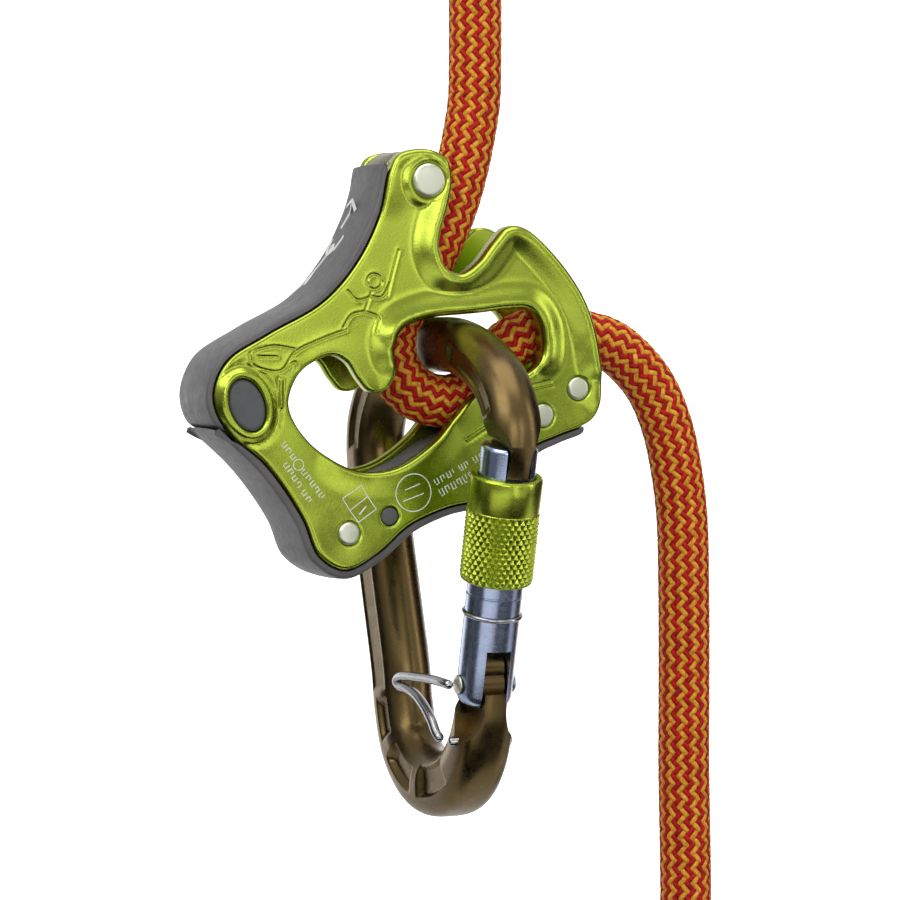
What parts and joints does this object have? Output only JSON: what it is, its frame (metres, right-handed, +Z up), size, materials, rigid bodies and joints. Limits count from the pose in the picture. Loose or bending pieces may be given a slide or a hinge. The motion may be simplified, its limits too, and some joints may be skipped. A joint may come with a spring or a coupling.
{
  "type": "rope descender",
  "caption": "Assisted-braking rope descender: riveted side plates with moulded edge covers, a screwgate connector through the slot, and a rope bight rove under the connector.",
  "frame": {"origin": "the inside of the rope's top eye, where the whole rig hangs", "axes": "+X along the side plates towards the brake strand, +Y across the plates towards the connector's spine, +Z up the live strand"},
  "size_m": [0.1128, 0.0769, 0.3069],
  "materials": {
    "lime_anodised": "bright lime anodising over satin metal",
    "lime_sleeve": "lime anodised, diamond knurl",
    "grey_nylon": "moulded, fine matt grain",
    "rivet_steel": "satin turned heads",
    "spacer_alloy": "plain turned",
    "bronze_anodised": "bronze anodised forging",
    "silver_gate": "bright polished tube",
    "rope_sheath": "red and yellow braided sheath",
    "black_trim": "plain black"
  },
  "bodies": {
    "device": {"front_plate": "lime_anodised", "rear_plate": "lime_anodised", "upper_cover": "grey_nylon", "lower_cover": "grey_nylon", "top_rivet": "rivet_steel", "top_spacer": "spacer_alloy", "top_liner": "spacer_alloy", "lower_rivet": "rivet_steel", "brake_rivet_upper": "rivet_steel", "brake_rivet_lower": "rivet_steel", "brake_spacer_upper": "spacer_alloy", "brake_spacer_lower": "spacer_alloy", "rope_live": "rope_sheath", "rope_brake": "rope_sheath", "eye_sleeve": "black_trim", "end_sleeve": "black_trim"},
    "rope_bight": {"rope_loop": "rope_sheath"},
    "connector": {"connector_body": "bronze_anodised", "keeper_pin": "rivet_steel", "hinge_pin": "rivet_steel"},
    "gate": {"gate_body": "silver_gate", "gate_stop_ring": "rivet_steel", "gate_plunger": "rivet_steel", "gate_spring": "rivet_steel"},
    "sleeve_carrier": {"sleeve_ring": "black_trim"},
    "sleeve": {"screw_sleeve": "lime_sleeve"},
    "keeper": {"wire_keeper": "rivet_steel"}
  },
  "joints": [
    {"name": "connector_slide", "type": "slide", "parent": "device", "child": "rope_bight", "axis": [0.995, 0, 0.0999], "range_m": [0, 0.009], "deforming": ["rope_loop"]},
    {"name": "connector_swing", "type": "hinge", "parent": "rope_bight", "child": "connector", "pos_m": [-0.0069, -0.0054, -0.1569], "axis": [0, 1, 0], "range_deg": [-20, 60]},
    {"name": "gate_hinge", "type": "hinge", "parent": "connector", "child": "gate", "pos_m": [-0.00604, -0.02508, -0.22295], "axis": [-0.999, -0.0436, 0], "range_deg": [0, 16], "stiffness_Nm_per_rad": 0.15, "springref_deg": -20.05},
    {"name": "sleeve_travel", "type": "slide", "parent": "gate", "child": "sleeve_carrier", "axis": [0.0103, -0.2366, 0.9715], "range_m": [-0.0052, 0]},
    {"name": "sleeve_turn", "type": "hinge", "parent": "sleeve_carrier", "child": "sleeve", "pos_m": [-0.00604, -0.02508, -0.22295], "axis": [0.0103, -0.2366, 0.9715], "range_deg": [-1250, 0]},
    {"name": "keeper_flex", "type": "hinge", "parent": "connector", "child": "keeper", "pos_m": [-0.0137, -0.02401, -0.22855], "axis": [-0.0323, 0.3528, -0.9352], "range_deg": [-25, 0], "stiffness_Nm_per_rad": 0.03}
  ],
  "couplings": [
    {"joint": "sleeve_turn", "follows": "sleeve_travel", "rad_per_m": 4188.8}
  ]
}
